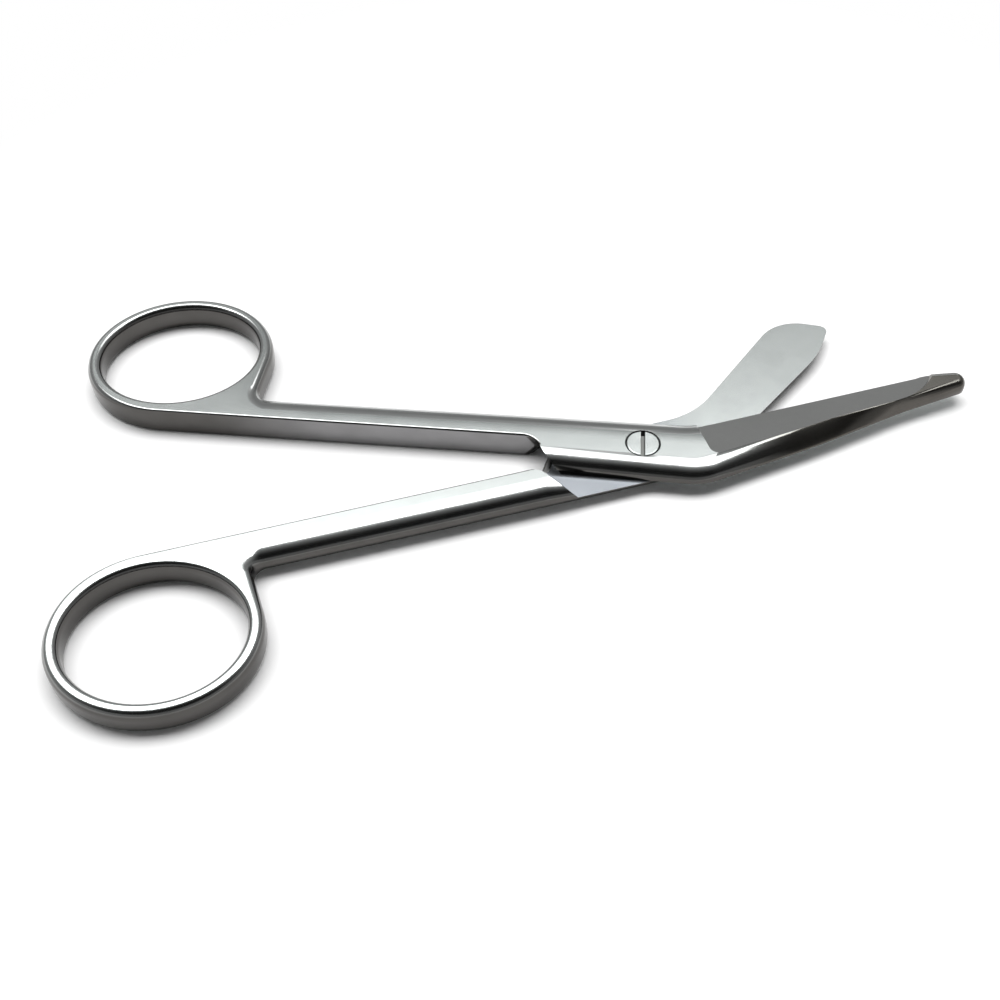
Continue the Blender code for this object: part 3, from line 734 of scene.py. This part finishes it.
def table_material(colour, shadow_reach, white_from):
    """White table: it keeps the shadow near the scissors and is plain white farther out."""
    material, shader, nodes, link = new_material("white_table")
    shader.inputs['Base Color'].default_value = (*colour, 1.0)
    shader.inputs['Roughness'].default_value = 0.6
    shader.inputs['Specular IOR Level'].default_value = 0.0
    glow = nodes.new('ShaderNodeEmission')
    distance = nodes.new('ShaderNodeVectorMath')
    distance.operation = 'LENGTH'
    mix = nodes.new('ShaderNodeMixShader')
    link(nodes.new('ShaderNodeTexCoord').outputs['Object'], distance.inputs[0])
    far = ranged(nodes, link, distance.outputs['Value'], (shadow_reach, white_from), smooth=True)
    link(computed(nodes, link, 'MULTIPLY', seen_mask(nodes, link), far), mix.inputs['Fac'])
    link(shader.outputs['BSDF'], mix.inputs[1])
    link(glow.outputs['Emission'], mix.inputs[2])
    link(mix.outputs['Shader'], nodes['Material Output'].inputs['Surface'])
    return material


def brightness_ramp(nodes, link, share, stops):
    """A grey that follows the stops, which are pairs of a share and a brightness."""
    ramp = nodes.new('ShaderNodeValToRGB')
    steps = ramp.color_ramp.elements
    for place, level in stops[1:-1]:
        steps.new(place).color = (level, level, level, 1.0)
    for step, (place, level) in ((steps[0], stops[0]), (steps[-1], stops[-1])):
        step.position = place
        step.color = (level, level, level, 1.0)
    link(share, ramp.inputs['Fac'])
    return ramp.outputs['Color']


def curtain_material(height):
    """Dark cloth in front of the scissors that turns grey towards the back of the room."""
    material, shader, nodes, link = new_material("dark_curtain")
    material.cycles.emission_sampling = 'NONE'
    shader.inputs['Base Color'].default_value = (0.02, 0.02, 0.02, 1.0)
    shader.inputs['Roughness'].default_value = 1.0
    shader.inputs['Specular IOR Level'].default_value = 0.0
    shader.inputs['Emission Strength'].default_value = 1.0
    parts = nodes.new('ShaderNodeSeparateXYZ')
    link(nodes.new('ShaderNodeTexCoord').outputs['Object'], parts.inputs['Vector'])
    behind = ranged(nodes, link, parts.outputs['Y'], CURTAIN_RUN, smooth=True)
    rise = ranged(nodes, link, parts.outputs['Z'], (0.0, height))
    front_wall = brightness_ramp(nodes, link, rise, FRONT_WALL)
    back_wall = brightness_ramp(nodes, link, rise, BACK_WALL)
    link(mixed(nodes, link, behind, front_wall, back_wall), shader.inputs['Emission Color'])
    return material


def set_world(room_light):
    """White to the eye and in reflections, and a gentler light on matt surfaces."""
    world = bpy.data.worlds.new("white_room")
    bpy.context.scene.world = world
    world.use_nodes = True
    nodes, link = world.node_tree.nodes, world.node_tree.links.new
    background = nodes['Background']
    background.inputs['Color'].default_value = (1.0, 1.0, 1.0, 1.0)
    link(ranged(nodes, link, seen_mask(nodes, link), end=(room_light, 1.0)),
         background.inputs['Strength'])


def add_lamp(name, place, size, power):
    """A rectangular soft box that hangs level and faces down."""
    lamp = bpy.data.lights.new(name, 'AREA')
    lamp.shape = 'RECTANGLE'
    lamp.size, lamp.size_y = size
    lamp.energy = power
    holder = bpy.data.objects.new(name, lamp)
    bpy.context.scene.collection.objects.link(holder)
    holder.location = place


def add_camera(stage):
    """The camera, aimed by its two angles and not by a target."""
    lens = bpy.data.cameras.new("camera")
    lens.lens = stage.lens
    lens.sensor_width = 36.0
    lens.clip_start = 0.005
    lens.clip_end = 20.0
    camera = bpy.data.objects.new("camera", lens)
    bpy.context.scene.collection.objects.link(camera)
    back = Vector((sin(stage.azimuth) * cos(stage.elevation),
                   -cos(stage.azimuth) * cos(stage.elevation), sin(stage.elevation)))
    right = Vector((0.0, 0.0, 1.0)).cross(back).normalized()
    aim = Matrix((right, back.cross(right), back)).transposed().to_4x4()
    camera.matrix_world = Matrix.Translation(stage.camera_place) @ aim
    bpy.context.scene.camera = camera


def hung(name, material):
    """The cloth just added, with its place in its mesh and out of the camera's sight."""
    cloth = bpy.context.object
    cloth.name = name
    bpy.ops.object.transform_apply(location=True)
    cloth.visible_camera = False
    cloth.data.materials.append(material)
    return cloth


class SCISSORS_OT_stage(bpy.types.Operator):
    """Set the table, the light and the camera"""

    bl_idname = "scissors.stage"
    bl_label = "Stage"

    def execute(self, context):
        stage = context.scene.scissors_stage
        radius, height = stage.curtain_radius, stage.curtain_height
        bpy.ops.object.select_all(action='DESELECT')
        bpy.ops.mesh.primitive_circle_add(
            vertices=CIRCLE_SIDES, radius=TABLE_RADIUS, fill_type='NGON',
            location=(0.0, 0.0, CAD_BOX[0].z - TABLE_GAP))
        table = context.object
        table.name = "white_table"
        table.data.materials.append(
            table_material(stage.table_colour, stage.shadow_reach, stage.white_from))
        cloth = curtain_material(height)
        bpy.ops.mesh.primitive_cylinder_add(
            vertices=CIRCLE_SIDES, radius=radius, depth=height, end_fill_type='NOTHING',
            location=(0.0, 0.0, height / 2.0))
        curtain = hung("dark_curtain", cloth)
        bpy.ops.mesh.primitive_circle_add(
            vertices=CIRCLE_SIDES, radius=radius, fill_type='NGON', location=(0.0, 0.0, height))
        ceiling = hung("dark_ceiling", cloth)
        set_world(stage.room_light)
        add_lamp("soft_box", stage.soft_box_place, stage.soft_box_size, stage.soft_box_power)
        add_lamp("back_box", stage.back_box_place, stage.back_box_size, stage.back_box_power)
        add_camera(stage)
        context.scene.view_settings.view_transform = 'Standard'
        return {'FINISHED'}


class SCISSORS_PT_panel(bpy.types.Panel):
    """The scissors' pieces and the stage"""

    bl_label = "Bandage Scissors"
    bl_idname = "SCISSORS_PT_panel"
    bl_space_type = 'VIEW_3D'
    bl_region_type = 'UI'
    bl_category = "Scissors"

    def draw(self, context):
        layout = self.layout
        for operator in OPERATORS:
            layout.operator(operator.bl_idname)
        for settings in (context.scene.scissors_finish, context.scene.scissors_stage):
            box = layout.box()
            for name in settings.__annotations__:
                box.prop(settings, name)


OPERATORS = (SCISSORS_OT_probe_half, SCISSORS_OT_plain_half, SCISSORS_OT_pivot_screw,
             SCISSORS_OT_stage)
CLASSES = (ScissorsFinish, ScissorsStage, *OPERATORS, SCISSORS_PT_panel)


def register():
    for cls in CLASSES:
        bpy.utils.register_class(cls)
    bpy.types.Scene.scissors_finish = PointerProperty(type=ScissorsFinish)
    bpy.types.Scene.scissors_stage = PointerProperty(type=ScissorsStage)


def unregister():
    del bpy.types.Scene.scissors_stage
    del bpy.types.Scene.scissors_finish
    for cls in reversed(CLASSES):
        bpy.utils.unregister_class(cls)


def main():
    register()
    bpy.ops.scissors.probe_half()
    bpy.ops.scissors.plain_half()
    bpy.ops.scissors.pivot_screw()
    bpy.ops.scissors.stage()


if __name__ == "__main__":
    main()
